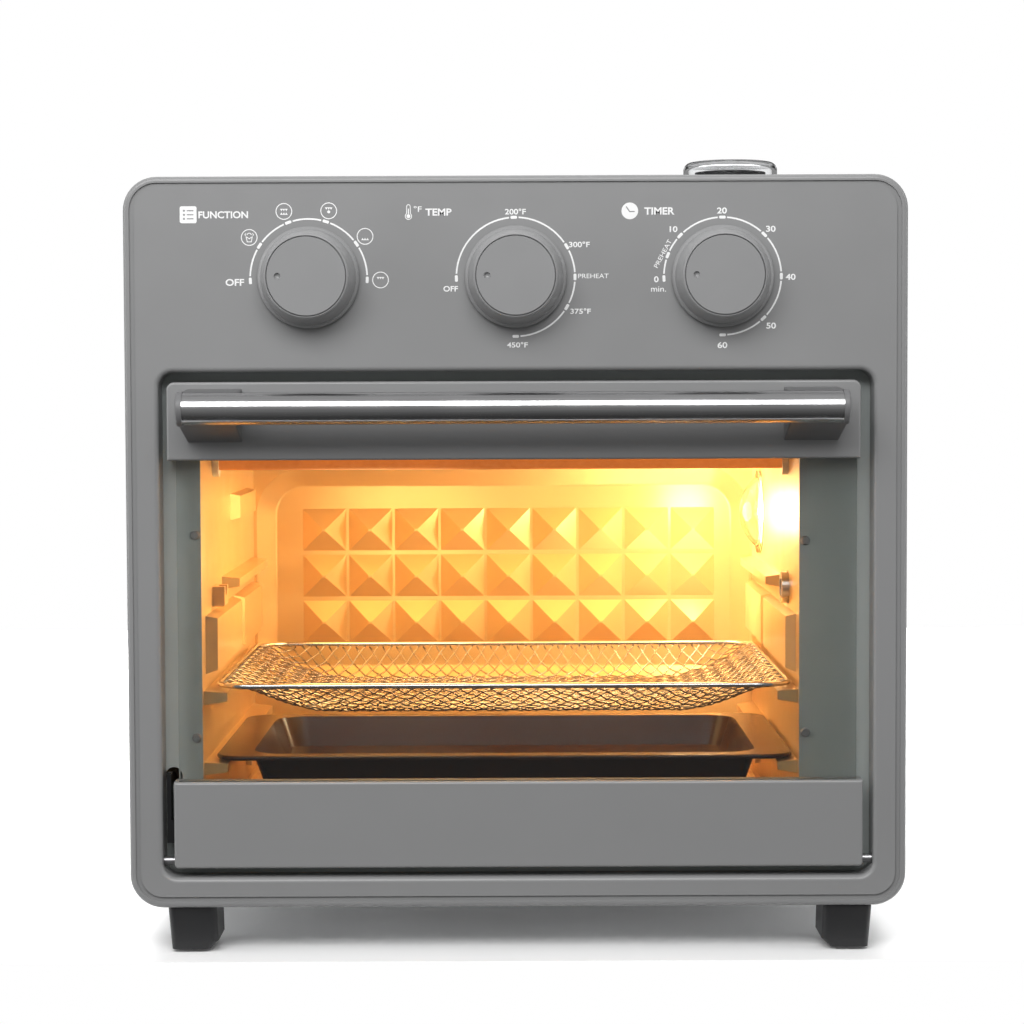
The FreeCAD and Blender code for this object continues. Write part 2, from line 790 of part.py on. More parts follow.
def door_bottom_band():
    body = band((band_left, band_right), (door_bottom, bottom_band_top), 2.0, False)
    for side in (-1, 1):
        hole = rod(pin_radius + 0.05, (side * 155, hinge_depth, hinge_height), (side, 0, 0), 20)
        body = body.cut(hole)
    return body


def door_glass():
    pane = glass_block(0.0)
    return round_edges(pane, 0.5, lambda p: True)


def hinge_pins():
    pins = []
    for side in (-1, 1):
        start = (side * pin_inner, hinge_depth, hinge_height)
        pins.append(rod(pin_radius, start, (side, 0, 0), pin_end - pin_inner))
    return Part.makeCompound(pins)


def door_hinge_blocks():
    """Blocks inside the bottom band that hold the two pins."""
    blocks = []
    for outer in (band_left + band_sheet, band_right - band_sheet):
        side = -1 if outer < 0 else 1
        x = sorted((outer, side * (pin_inner - 3)))
        body = block(x, (1.6, door_thickness - band_sheet - 0.1), (door_bottom + band_sheet, 62.0))
        hole = rod(pin_radius + 0.02, (side * pin_inner, hinge_depth, hinge_height),
                   (side, 0, 0), 20)
        blocks.append(body.cut(hole))
    return Part.makeCompound(blocks)


def hinge_brackets():
    """Plates beside the recess with the two bearing holes."""
    plates = []
    for side in (-1, 1):
        inner = recess_side + flange_sheet
        x = sorted((side * inner, side * (inner + 2.5)))
        plate = block(x, (bezel_sheet, recess_depth), (hinge_height - 7, hinge_height + 22))
        bore = rod(pin_radius + 0.05, (side * 160, hinge_depth, hinge_height), (side, 0, 0), 30)
        plates.append(plate.cut(bore))
    return Part.makeCompound(plates)


def door_stay():
    """Curved arm, centred on the hinge, that runs back through the frame."""
    x = (stay_outer, stay_outer + stay_sheet)
    centre = (x[0], hinge_depth, hinge_height)
    outer, inner = stay_radius + stay_half_width, stay_radius - stay_half_width
    ring = rod(outer, centre, (1, 0, 0), stay_sheet)
    ring = ring.cut(rod(inner, (x[0] - 1, hinge_depth, hinge_height), (1, 0, 0), stay_sheet + 2))
    reach = 60.0
    points = [(0.0, 0.0)]
    for angle in (stay_tail, stay_tail + 40, stay_tail + 80, 92.0):
        turn = math.radians(angle)
        points.append((reach * math.cos(turn), reach * math.sin(turn)))
    sector = Part.Face(Part.makePolygon(
        [Vector(x[0] - 1, at(hinge_depth + d), hinge_height + z) for d, z in points + points[:1]]
    )).extrude(Vector(stay_sheet + 2, 0, 0))
    arm = ring.common(sector)
    root = block(x, (hinge_depth - 3, hinge_depth + 4), (hinge_height + 9, hinge_height + outer - 0.6))
    lug = block((x[0], band_left), (hinge_depth - 3, hinge_depth + 4),
                (hinge_height + 9, hinge_height + 20))
    tail = math.radians(stay_tail)
    tab = Part.makeBox(5.6, 2.4, 4.0, Vector(x[0], -1.2, -2.0))
    tab.rotate(Vector(0, 0, 0), Vector(1, 0, 0), stay_tail)
    tab.translate(Vector(0, at(hinge_depth) + (stay_radius) * math.cos(tail),
                         hinge_height + stay_radius * math.sin(tail)))
    return arm.fuse([root, lug, tab]).removeSplitter()


def handle_bar():
    start = (handle_left, handle_depth, handle_height)
    return rod(handle_radius, start, (1, 0, 0), handle_right - handle_left)


def handle_bracket(end_x, inwards):
    """Bracket narrowing from the door to one end of the bar, with a round end cap."""
    tip = end_x - inwards * handle_cap
    reach = handle_depth + 2.0

    def outline(depth, offsets, levels):
        low, high = sorted(tip + inwards * offset for offset in offsets)
        corners = [(low, levels[0]), (high, levels[0]), (high, levels[1]), (low, levels[1])]
        return [Vector(x, at(depth), z) for x, z in corners]

    half = handle_radius - 0.4
    root = outline(0, (1.8, bracket_width), (bracket_bottom, bracket_top))
    nose = outline(reach, (0, bracket_width - 0.8), (handle_height - half, handle_height + half))
    sides = [[root[i], root[(i + 1) % 4], nose[(i + 1) % 4], nose[i]] for i in range(4)]
    faces = [Part.Face(Part.makePolygon(points + points[:1])) for points in sides + [root, nose]]
    body = Part.makeSolid(Part.makeShell(faces))
    body = body.makeFillet(0.8, [e for e in body.Edges if e.BoundBox.YLength > 5])
    disc = rod(handle_cap_radius, (tip, handle_depth, handle_height), (inwards, 0, 0), handle_cap)
    disc = round_edges(disc, 1.0, lambda p: abs(p.x - tip) < 0.01)
    body = body.fuse(disc)
    body = body.cut(rod(handle_radius + 0.02, (end_x, handle_depth, handle_height),
                        (inwards, 0, 0), 60))
    for x, z in handle_screw_places():
        if abs(x - tip) < bracket_width:
            body = body.cut(rod(1.6, (x, -9, z), (0, 1, 0), 10))
    return body.removeSplitter()


def handle_screw_places():
    return [
        (x, z) for x in (handle_left + 8, handle_left + 20, handle_right - 20, handle_right - 8)
        for z in (bracket_bottom + 8.0,)
    ]


def handle_screws():
    return Part.makeCompound([
        pan_screw((x, band_sheet + 0.4, z), (0, 1, 0), 2.8, 1.6, 9.0)
        for x, z in handle_screw_places()
    ])


# ---------------------------------------------------------------------------
# Basket and tray
# ---------------------------------------------------------------------------
def basket_rim():
    x = (rack_left + basket_wire, rack_right - basket_wire)
    depth = (basket_front + basket_wire, basket_back - basket_wire)
    path = rounded_loop(x, depth, basket_height, 16.0)
    start = path.Edges[1].Vertexes[0].Point
    path = Part.Wire(path.Edges[1:] + path.Edges[:1])
    section = Part.Wire(Part.makeCircle(basket_wire, start, Vector(0, 1, 0)))
    return path.makePipeShell([section], True, True)


def basket_mesh():
    """Sagging woven shell, closed: a shallow bowl, steep at the back."""
    wall = 1.4
    margin = 2 * basket_wire + 0.2
    top = basket_height - 0.4
    slopes = ((52.0, 45.0, 16.0, basket_sag, 20.0), (24.0, 16.0, 6.0, basket_sag * 0.55, 15.0),
              (0.0, 0.0, 0.0, 0.0, 13.0))

    def outline(slope, offset):
        inset_x, inset_front, inset_back = slope[:3]
        x = (rack_left + margin + inset_x + offset, rack_right - margin - inset_x - offset)
        depth = (basket_front + margin + inset_front + offset,
                 basket_back - margin - inset_back - offset)
        return x, depth

    def shell(offset, rise):
        return basin(*((*outline(slope, offset), top - slope[3] + rise, slope[4])
                       for slope in slopes))

    low = top - basket_sag
    floor = level_plate(*outline(slopes[0], 0.0), (low, low + wall), slopes[0][4])
    return shell(0.0, 0.0).cut(shell(wall, 0.01)).fuse(floor)


def bake_tray():
    x, depth = (rack_left, rack_right), (basket_front, tray_back)
    top = tray_height + tray_rim
    rim = level_plate(x, depth, (tray_height, top), 14.0)
    rim = round_edges(rim, 1.0, lambda p: True)
    side, end = 16.0, 8.0
    well_x = (x[0] + side, x[1] - side)
    well_depth = (depth[0] + end, depth[1] - end)
    floor = tray_height - tray_depth

    def well(offset):
        lower = ((well_x[0] + 6 + offset, well_x[1] - 6 - offset),
                 (well_depth[0] + 5 + offset, well_depth[1] - 5 - offset),
                 floor + offset, 12.0)
        upper = ((well_x[0] + offset, well_x[1] - offset),
                 (well_depth[0] + offset, well_depth[1] - offset), top, 16.0)
        return basin(lower, upper)

    tray = rim.fuse(well(0.0))
    cutter = well(tray_sheet)
    cutter.translate(Vector(0, 0, 0.01))
    return tray.cut(cutter).removeSplitter()


# ---------------------------------------------------------------------------
# Vent and spit drive
# ---------------------------------------------------------------------------
def vent_port():
    """Collar in the casing top; the clear cap stands on its flange."""
    tube, bore = 18.0, 16.0
    profile = [
        (bore, -27.5), (tube, -27.5), (tube, 0.0), (vent_cap_radius + 1.6, 0.0),
        (vent_cap_radius + 1.6, vent_flange_top - casing_top), (tube, vent_flange_top - casing_top),
        (tube, 10.5), (bore, 10.5),
    ]
    return turned(profile, (vent_x, vent_depth, casing_top), (0, 0, 1))


def vent_cap():
    """Clear cup, upside down, with a small boss in the middle."""
    centre = (vent_x, vent_depth, vent_flange_top)
    height = vent_cap_top - vent_flange_top
    wall = 2.6
    cap = rod(vent_cap_radius, centre, (0, 0, 1), height)
    cap = round_edges(cap, 4.0, lambda p: p.z > vent_cap_top - 0.01)
    room = rod(vent_cap_radius - wall, centre, (0, 0, 1), height - wall)
    room = round_edges(room, 2.0, lambda p: p.z > vent_cap_top - wall - 0.01)
    boss = rod(3.5, (vent_x, vent_depth, vent_cap_top - wall - 4), (0, 0, 1), 5)
    return cap.cut(room).fuse(boss).removeSplitter()


def spit_socket():
    """Turning socket with a square hole for the end of a spit."""
    start = (cavity_right - 3.5, spit_depth, spit_height)
    socket = rod(8.0, start, (1, 0, 0), 13.5)
    socket = socket.fuse(rod(4.0, start, (1, 0, 0), 33.5))
    half = 4.2
    hole = block((cavity_right - 4.5, cavity_right + 8), (spit_depth - half, spit_depth + half),
                 (spit_height - half, spit_height + half))
    return socket.cut(hole).removeSplitter()


def spit_motor():
    """Gear motor in the right compartment, on four legs against the wall."""
    front, back = cavity_right + 14, cavity_right + 42
    body = block((front, back), (spit_depth - 20, spit_depth + 20),
                 (spit_height - 20, spit_height + 20))
    bore = rod(4.05, (front - 1, spit_depth, spit_height), (1, 0, 0), 20)
    body = body.cut(bore)
    legs = []
    for d in (-17, 17):
        for z in (-17, 17):
            legs.append(rod(2.5, (cavity_right + sheet, spit_depth + d, spit_height + z),
                            (1, 0, 0), 14 - sheet + 1))
    return body.fuse(legs)


def spit_rest():
    """Small open bearing on the left wall for the far end of a spit."""
    body = block((cavity_left, cavity_left + 6), (spit_depth - 8, spit_depth + 8),
                 (spit_height - 8, spit_height + 2))
    body = body.cut(rod(4.0, (cavity_left + 2, spit_depth, spit_height + 1), (1, 0, 0), 10))
    return round_edges(body, 1.0, lambda p: p.x > cavity_left + 5.9 and p.z < spit_height)


# ---------------------------------------------------------------------------
# All sub-parts, one file each
# ---------------------------------------------------------------------------
parts = {
    "front_bezel": front_bezel(),
    "outer_casing": outer_casing(),
    "rear_panel": rear_panel(),
    "base_panel": base_panel(),
    "feet": feet(),
    "foot_pads": foot_pads(),
    "cord_gland": cord_gland(),
    "rear_screws": rear_screws(),
    "cavity_front_frame": cavity_front_frame(),
    "frame_screws": frame_screws(),
    "cavity_left_wall": cavity_left_wall(),
    "cavity_right_wall": cavity_right_wall(),
    "cavity_rear_wall": cavity_rear_wall(),
    "cavity_ceiling": cavity_ceiling(),
    "cavity_floor": cavity_floor(),
    "crumb_tray": crumb_tray(),
    "upper_heaters": heaters(upper_heater_height),
    "lower_heaters": heaters(lower_heater_height),
    "heater_insulators": heater_insulators(),
    "fan_guard": fan_guard(),
    "fan_housing": fan_housing(),
    "fan_motor": fan_motor(),
    "fan_wheel": fan_wheel(),
    "fan_shaft": fan_shaft(),
    "cooling_fan": cooling_fan(),
    "lamp_holder": lamp_holder(),
    "lamp_bulb": lamp_bulb(),
    "lamp_lens": lamp_lens(),
    "function_switch": function_switch(),
    "thermostat": thermostat(),
    "timer_unit": timer_unit(),
    "hinge_brackets": hinge_brackets(),
    "hinge_pins": hinge_pins(),
    "door_hinge_blocks": door_hinge_blocks(),
    "door_stay": door_stay(),
    "door_bottom_band": door_bottom_band(),
    "door_top_band": door_top_band(),
    "door_glass": door_glass(),
    "handle_bar": handle_bar(),
    "handle_bracket_left": handle_bracket(handle_left, 1),
    "handle_bracket_right": handle_bracket(handle_right, -1),
    "handle_screws": handle_screws(),
    "basket_rim": basket_rim(),
    "basket_mesh": basket_mesh(),
    "bake_tray": bake_tray(),
    "vent_port": vent_port(),
    "vent_cap": vent_cap(),
    "spit_motor": spit_motor(),
    "spit_socket": spit_socket(),
    "spit_rest": spit_rest(),
}
for column, name in ((-1, "function"), (0, "temperature"), (1, "timer")):
    parts[name + "_knob"] = knob_body(column * knob_pitch)
    parts[name + "_knob_face"] = knob_face(column * knob_pitch)
    parts[name + "_shaft"] = knob_shaft(column * knob_pitch)

os.makedirs("parts", exist_ok=True)
for name, shape in parts.items():
    shape.translate(Vector(0, 0, -floor_level))
    solids = shape.Solids
    valid = shape.isValid() and all(s.isValid() and s.Volume > 0 for s in solids)
    print(f"{name:24s} solids {len(solids):3d}  volume {shape.Volume / 1000:9.2f} cm3  valid {valid}")
    shape.exportStep(f"parts/{name}.step")
print("nodes", len(parts))
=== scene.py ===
import math

import bpy
from mathutils import Matrix, Vector


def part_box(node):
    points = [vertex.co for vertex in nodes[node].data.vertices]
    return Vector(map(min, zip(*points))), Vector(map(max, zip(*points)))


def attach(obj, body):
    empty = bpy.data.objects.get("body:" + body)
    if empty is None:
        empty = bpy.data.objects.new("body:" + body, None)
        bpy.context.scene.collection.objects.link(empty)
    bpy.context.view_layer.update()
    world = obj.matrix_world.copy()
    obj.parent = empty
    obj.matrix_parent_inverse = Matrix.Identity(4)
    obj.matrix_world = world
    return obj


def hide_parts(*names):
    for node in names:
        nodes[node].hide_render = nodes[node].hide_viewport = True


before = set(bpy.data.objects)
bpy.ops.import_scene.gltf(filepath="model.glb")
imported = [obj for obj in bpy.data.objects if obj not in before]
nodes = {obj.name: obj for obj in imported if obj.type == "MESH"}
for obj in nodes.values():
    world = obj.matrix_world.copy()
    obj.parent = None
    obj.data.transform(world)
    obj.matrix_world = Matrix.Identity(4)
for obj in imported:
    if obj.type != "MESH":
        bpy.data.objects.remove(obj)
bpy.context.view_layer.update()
MM = 0.001

# Where the front face is, and the inner faces of the cavity
face_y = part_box("front_bezel")[0].y
cavity_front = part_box("cavity_front_frame")[1].y
cavity_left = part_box("cavity_left_wall")[1].x
cavity_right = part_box("cavity_right_wall")[0].x
cavity_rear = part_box("cavity_rear_wall")[0].y
cavity_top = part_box("cavity_ceiling")[0].z


# ---------------------------------------------------------------------------
# Material helpers
# ---------------------------------------------------------------------------
def new_material(name, **values):
    """A material with one Principled shader; values are set on its sockets."""
    material = bpy.data.materials.new(name)
    material.use_nodes = True
    shader = material.node_tree.nodes["Principled BSDF"]
    for socket, value in values.items():
        shader.inputs[socket.replace("_", " ")].default_value = value
    return material, material.node_tree, shader


def add(tree, kind, **settings):
    """A shader node; each setting goes to the socket of that name, or else to the node itself."""
    node = tree.nodes.new(kind)
    for key, value in settings.items():
        if key in node.inputs:
            node.inputs[key].default_value = value
        else:
            setattr(node, key, value)
    return node


def place(tree, stretch=(1, 1, 1)):
    """Coordinates in metres, stretched per axis."""
    source = add(tree, "ShaderNodeTexCoord")
    mapping = add(tree, "ShaderNodeMapping", Scale=stretch)
    tree.links.new(source.outputs["Object"], mapping.inputs["Vector"])
    return mapping.outputs["Vector"]


def noise(tree, vector, scale, detail=3.0, roughness=0.55):
    """Cloudy factor from 0 to 1; the scale counts lumps per metre."""
    node = add(tree, "ShaderNodeTexNoise", Scale=scale, Detail=detail, Roughness=roughness)
    tree.links.new(vector, node.inputs["Vector"])
    return node.outputs["Fac"]


def ramp(tree, factor, stops):
    """Colour ramp; stops are (position, colour)."""
    node = add(tree, "ShaderNodeValToRGB")
    elements = node.color_ramp.elements
    while len(elements) < len(stops):
        elements.new(0.5)
    for element, (position, colour) in zip(elements, stops):
        element.position = position
        element.color = (*colour, 1.0)
    tree.links.new(factor, node.inputs["Fac"])
    return node.outputs["Color"]


def spread(tree, factor, low, high, start=0.3, end=0.7):
    """Map a noise factor onto a range."""
    node = add(tree, "ShaderNodeMapRange")
    for socket, value in (("From Min", start), ("From Max", end), ("To Min", low), ("To Max", high)):
        node.inputs[socket].default_value = value
    tree.links.new(factor, node.inputs["Value"])
    return node.outputs["Result"]


def bump(tree, shader, height, strength, distance):
    """Surface relief, with its depth in metres."""
    node = add(tree, "ShaderNodeBump", Strength=strength, Distance=distance)
    tree.links.new(height, node.inputs["Height"])
    tree.links.new(node.outputs["Normal"], shader.inputs["Normal"])


def shade(colour, amount):
    """A colour made lighter or darker."""
    return tuple(channel * amount for channel in colour)


def coated(name, colour, rough, grain, depth, variation=0.04, metallic=0.0, coat=0.0, level=0.5):
    """Sprayed or moulded surface: fine grain, soft mottling and uneven gloss."""
    material, tree, shader = new_material(name, Metallic=metallic, Coat_Weight=coat,
                                          Specular_IOR_Level=level)
    where = place(tree)
    mottle = noise(tree, where, 18.0, 4.0)
    tint = ramp(tree, mottle,
                [(0.3, shade(colour, 1 - variation)), (0.7, shade(colour, 1 + variation))])
    tree.links.new(tint, shader.inputs["Base Color"])
    gloss = noise(tree, where, 45.0, 3.0)
    tree.links.new(spread(tree, gloss, rough * 0.92, rough * 1.12), shader.inputs["Roughness"])
    fine = noise(tree, where, grain, 2.0, 0.6)
    bump(tree, shader, fine, 0.35, depth)
    return material


def brushed(name, colour, rough, stretch, strength=0.25, variation=0.10):
    """Metal with fine drawn lines along the axis that is stretched least."""
    material, tree, shader = new_material(name, Metallic=1.0, Anisotropic=0.45)
    lines = noise(tree, place(tree, stretch), 900.0, 3.0, 0.65)
    broad = noise(tree, place(tree), 30.0, 3.0)
    tint = ramp(tree, lines,
                [(0.25, shade(colour, 1 - variation)), (0.75, shade(colour, 1 + variation))])
    tree.links.new(tint, shader.inputs["Base Color"])
    tree.links.new(spread(tree, broad, rough - 0.05, rough + 0.07), shader.inputs["Roughness"])
    bump(tree, shader, lines, strength, 0.00003)
    return material


def plated(name, colour, rough):
    """Bright plated wire or screw with faint unevenness."""
    material, tree, shader = new_material(name, Metallic=1.0)
    where = place(tree)
    stain = noise(tree, where, 60.0, 4.0)
    tint = ramp(tree, stain, [(0.3, shade(colour, 0.88)), (0.7, colour)])
    tree.links.new(tint, shader.inputs["Base Color"])
    tree.links.new(spread(tree, stain, rough - 0.03, rough + 0.08), shader.inputs["Roughness"])
    bump(tree, shader, noise(tree, where, 700.0), 0.15, 0.00004)
    return material


def galvanised(name, colour):
    """Zinc sheet with its crystal pattern."""
    material, tree, shader = new_material(name, Metallic=0.85)
    where = place(tree)
    cells = add(tree, "ShaderNodeTexVoronoi", Scale=110.0)
    tree.links.new(where, cells.inputs["Vector"])
    tint = ramp(tree, cells.outputs["Color"],
                [(0.1, shade(colour, 0.80)), (0.55, colour), (0.95, shade(colour, 1.15))])
    tree.links.new(tint, shader.inputs["Base Color"])
    tree.links.new(spread(tree, cells.outputs["Color"], 0.30, 0.48, 0.1, 0.9),
                   shader.inputs["Roughness"])
    bump(tree, shader, noise(tree, where, 300.0), 0.2, 0.00005)
    return material


def clear(name, colour, rough, ior, level):
    """Glass or clear plastic with faint smears in the gloss."""
    material, tree, shader = new_material(
        name, Transmission_Weight=1.0, IOR=ior, Specular_IOR_Level=level)
    smear = noise(tree, place(tree, (1, 1, 2.5)), 9.0, 4.0)
    tint = ramp(tree, smear, [(0.2, shade(colour, 0.985)), (0.8, colour)])
    tree.links.new(tint, shader.inputs["Base Color"])
    tree.links.new(spread(tree, smear, rough, rough + 0.02), shader.inputs["Roughness"])
    return material


def heated(name, colour, glow, strength):
    """Oxidised heater sheath with an uneven dull glow."""
    material, tree, shader = new_material(name, Metallic=0.6, Emission_Strength=strength)
    where = place(tree)
    scale = noise(tree, where, 260.0, 5.0)
    tint = ramp(tree, scale, [(0.3, shade(colour, 0.6)), (0.7, shade(colour, 1.3))])
    tree.links.new(tint, shader.inputs["Base Color"])
    tree.links.new(spread(tree, scale, 0.45, 0.7), shader.inputs["Roughness"])
    hot = ramp(tree, noise(tree, where, 30.0), [(0.2, shade(glow, 0.7)), (0.8, glow)])
    tree.links.new(hot, shader.inputs["Emission Color"])
    bump(tree, shader, scale, 0.4, 0.0001)
    return material


def lit(name, colour, strength):
    """Glowing bulb, a little cloudy."""
    material, tree, shader = new_material(name, Emission_Strength=strength, Roughness=0.3)
    cloud = noise(tree, place(tree), 120.0)
    tint = ramp(tree, cloud, [(0.2, shade(colour, 0.9)), (0.8, colour)])
    tree.links.new(tint, shader.inputs["Base Color"])
    tree.links.new(tint, shader.inputs["Emission Color"])
    return material


# ---------------------------------------------------------------------------
# Materials
# ---------------------------------------------------------------------------
# name, colour, roughness, grain per metre, grain depth in metres, mottling
paint = coated("grey_paint", (0.250, 0.251, 0.253), 0.34, 1500.0, 0.00004, 0.012)
knob_paint = coated("knob_paint", (0.262, 0.263, 0.266), 0.33, 2600.0, 0.00003, 0.02)
# The brackets' grey paint is darkened: painted shade from the handle bar above them.
bracket_paint = coated("bracket_paint", (0.150, 0.150, 0.153), 0.45, 2200.0, 0.00004, 0.03)
# The cavity enamel's orange colour is partly painted warm light: the orange stands in for the glow of
# the lamp and heaters on grey steel.
warm_lit_enamel = coated("cavity_enamel", (0.60, 0.40, 0.18), 0.30, 500.0, 0.00003, 0.03, metallic=0.35)
# The fan guard takes the cavity enamel darker and browner: painted shade and painted warm light.
shaded_guard_enamel = coated("shaded_guard_enamel", (0.30, 0.14, 0.04), 0.30, 500.0, 0.00003, 0.03, metallic=0.35)
frame_paint = coated("frame_paint", (0.352, 0.382, 0.372), 0.40, 1200.0, 0.00006, 0.05)
# The tray's coating is dark, and its brown tint is a painted reflection of the orange-lit cavity.
non_stick_brown_reflection = coated("tray_coating", (0.030, 0.012, 0.004), 0.20, 800.0, 0.00004, 0.15, level=0.25)
black_plastic = coated("black_plastic", (0.012, 0.012, 0.013), 0.48, 900.0, 0.00010, 0.10)
rubber = coated("black_rubber", (0.020, 0.020, 0.021), 0.75, 1500.0, 0.00010, 0.08)
phenolic = coated("switch_plastic", (0.070, 0.060, 0.050), 0.50, 900.0, 0.00008, 0.12)
ceramic = coated("ceramic", (0.78, 0.75, 0.68), 0.35, 500.0, 0.00010, 0.05, coat=0.3)
dark_steel = coated("dark_steel", (0.012, 0.012, 0.013), 0.42, 900.0, 0.00006, 0.10, metallic=0.5)
# name, colour, roughness, stretch along x, y and z
handle_steel = brushed("brushed_handle", (0.60, 0.60, 0.605), 0.18, (0.02, 1, 1))
machined = brushed("machined_steel", (0.48, 0.48, 0.49), 0.30, (1, 1, 0.05))
# name, colour, roughness
zinc = plated("zinc_screw", (0.66, 0.65, 0.62), 0.25)
chrome = plated("chrome_wire", (0.70, 0.70, 0.73), 0.14)
# The woven wire is a darker copy of the chrome wire: painted shade, since the basket's front and floor
# lie in shadow.
shaded_woven_wire = plated("shaded_woven_wire", (0.36, 0.34, 0.32), 0.22)
sheet_zinc = galvanised("galvanised_sheet", (0.55, 0.56, 0.57))
# name, colour, roughness, refractive index, specular level
pane = clear("door_glass", (0.78, 0.80, 0.79), 0.0, 1.45, 0.10)
clear_plastic = clear("clear_plastic", (0.93, 0.935, 0.94), 0.06, 1.12, 0.6)
lens_glass = clear("lamp_lens", (1.0, 0.96, 0.88), 0.05, 1.40, 0.4)
# name, colour, glow, strength
hot_rod = heated("upper_heater_sheath", (0.16, 0.10, 0.06), (1.0, 0.22, 0.02), 0.80)
warm_rod = heated("lower_heater_sheath", (0.11, 0.09, 0.08), (1.0, 0.18, 0.02), 0.12)
bulb_light = lit("lamp_filament", (1.0, 0.80, 0.50), 30.0)
white_ink = coated("white_print", (0.88, 0.88, 0.88), 0.55, 1500.0, 0.00001, 0.02)

FINISHES = {
    paint: ["front_bezel", "outer_casing", "rear_panel", "door_top_band", "door_bottom_band"],
    bracket_paint: ["handle_bracket_left", "handle_bracket_right"],
    knob_paint: [name + part for name in ("function", "temperature", "timer")
                 for part in ("_knob", "_knob_face")],
    warm_lit_enamel: ["cavity_left_wall", "cavity_right_wall", "cavity_rear_wall", "cavity_ceiling",
             "cavity_floor", "crumb_tray", "spit_rest"],
    shaded_guard_enamel: ["fan_guard"],
    frame_paint: ["cavity_front_frame"],
    non_stick_brown_reflection: ["bake_tray"],
    black_plastic: ["feet", "cord_gland", "vent_port"],
    rubber: ["foot_pads"],
    phenolic: ["function_switch", "thermostat", "timer_unit"],
    ceramic: ["heater_insulators", "lamp_holder"],
    dark_steel: ["door_stay"],
    handle_steel: ["handle_bar"],
    machined: ["frame_screws", "fan_motor", "fan_shaft", "hinge_pins", "door_hinge_blocks", "spit_motor",
               "spit_socket", "function_shaft", "temperature_shaft", "timer_shaft"],
    zinc: ["rear_screws", "handle_screws"],
    chrome: ["basket_rim"],
    sheet_zinc: ["base_panel", "fan_housing", "fan_wheel", "cooling_fan", "hinge_brackets"],
    pane: ["door_glass"],
    clear_plastic: ["vent_cap"],
    lens_glass: ["lamp_lens"],
    hot_rod: ["upper_heaters"],
    warm_rod: ["lower_heaters"],
    bulb_light: ["lamp_bulb"],
}
for material, names in FINISHES.items():
    for name in names:
        mesh = nodes[name].data
        mesh.materials.clear()
        mesh.materials.append(material)


# ---------------------------------------------------------------------------
# Mesh helpers
# ---------------------------------------------------------------------------
def piece(name, vertices, faces, material, body):
    """A new mesh piece that rides on a body."""
    mesh = bpy.data.meshes.new(name)
    mesh.from_pydata([tuple(v) for v in vertices], [], faces)
    mesh.materials.append(material)
    mesh.validate()
    obj = bpy.data.objects.new(name, mesh)
    bpy.context.scene.collection.objects.link(obj)
    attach(obj, body)
    return obj


def tube(vertices, faces, points, radius, sides=6):
    """Append a capped tube along a list of points."""
    start = len(vertices)
    count = len(points)
    side = Vector((0, 0, 1))
    for index, point in enumerate(points):
        ahead = points[min(index + 1, count - 1)] - points[max(index - 1, 0)]
        ahead.normalize()
        across = ahead.cross(side).normalized()
        up = across.cross(ahead)
        for step in range(sides):
            angle = 2 * math.pi * step / sides
            vertices.append(point + radius * (math.cos(angle) * across + math.sin(angle) * up))
    for index in range(count - 1):
        ring = start + index * sides
        for step in range(sides):
            after = (step + 1) % sides
            faces.append((ring + step, ring + after, ring + sides + after, ring + sides + step))
    faces.append(tuple(start + step for step in reversed(range(sides))))
    last = start + (count - 1) * sides
    faces.append(tuple(last + step for step in range(sides)))


# ---------------------------------------------------------------------------
# Woven basket
# ---------------------------------------------------------------------------
def woven_basket():
    """Crossed wires, over and under each other, that sag as a shallow bowl inside the rim."""
    rim_low, rim_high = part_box("basket_rim")
    rim_radius = (rim_high.z - rim_low.z) / 2
    x0, x1 = rim_low.x + rim_radius, rim_high.x - rim_radius
    y0, y1 = rim_low.y + rim_radius, rim_high.y - rim_radius
    top = (rim_low.z + rim_high.z) / 2
    shell_wall = 1.2 * MM
    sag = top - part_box("basket_mesh")[0].z - shell_wall
    corner, wire, pitch = 17 * MM, 0.45 * MM, 7.6 * MM
    slope_side, slope_front, slope_back = 54 * MM, 46 * MM, 19 * MM
    level_edge = 4 * MM  # stays level where the side ledges carry the rim
    crimp_height = 0.8 * wire
    stride = pitch / 4
    fewest_points = 4

    def inside(x, y):
        """True within the rim's rounded rectangle."""
        dx = max(x0 + corner - x, x - x1 + corner, 0.0)
        dy = max(y0 + corner - y, y - y1 + corner, 0.0)
        return x0 <= x <= x1 and y0 <= y <= y1 and math.hypot(dx, dy) <= corner

    def height(x, y):
        """The bowl's surface, steepest at the back."""
        def rise(distance, reach):
            return math.sin(math.pi / 2 * min(max(distance, 0.0) / reach, 1.0))
        across = rise(min(x - x0, x1 - x) - level_edge, slope_side - level_edge)
        along = min(rise(y - y0, slope_front), rise(y1 - y, slope_back))
        return top - sag * across * along

    vertices, faces = [], []
    for direction in (1, -1):
        base = x0 + direction * (y0 if direction > 0 else y1)
        count = int((x1 - x0 + y1 - y0) / pitch) + 1
        for row in range(1, count):
            level = base + row * pitch
            points = []
            for step in range(int((x1 - x0) / stride) + 3):
                x = x0 + step * stride
                y = (level - x) * direction
                if not inside(x, y):
                    continue
                crossing = step / 2 + row
                crimp = direction * crimp_height * math.cos(math.pi * crossing)
                points.append(Vector((x, y, height(x, y) + crimp)))
            if len(points) >= fewest_points:
                tube(vertices, faces, points, wire)
    basket = piece("woven_basket", vertices, faces, shaded_woven_wire, "basket")
    for polygon in basket.data.polygons:
        polygon.use_smooth = True
    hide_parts("basket_mesh")


woven_basket()


# ---------------------------------------------------------------------------
# Printed scales on the control panel
# ---------------------------------------------------------------------------
# Ink lies just in front of the panel, and dark details lie over the white ink.
INK_BACK = face_y - 0.02 * MM
INK_FRONT = face_y - 0.08 * MM
INK_OVER = face_y - 0.13 * MM


def polar(radius, angle, centre=(0.0, 0.0)):
    """Point at an angle in degrees around a centre."""
    turn = math.radians(angle)
    return centre[0] + radius * math.cos(turn), centre[1] + radius * math.sin(turn)


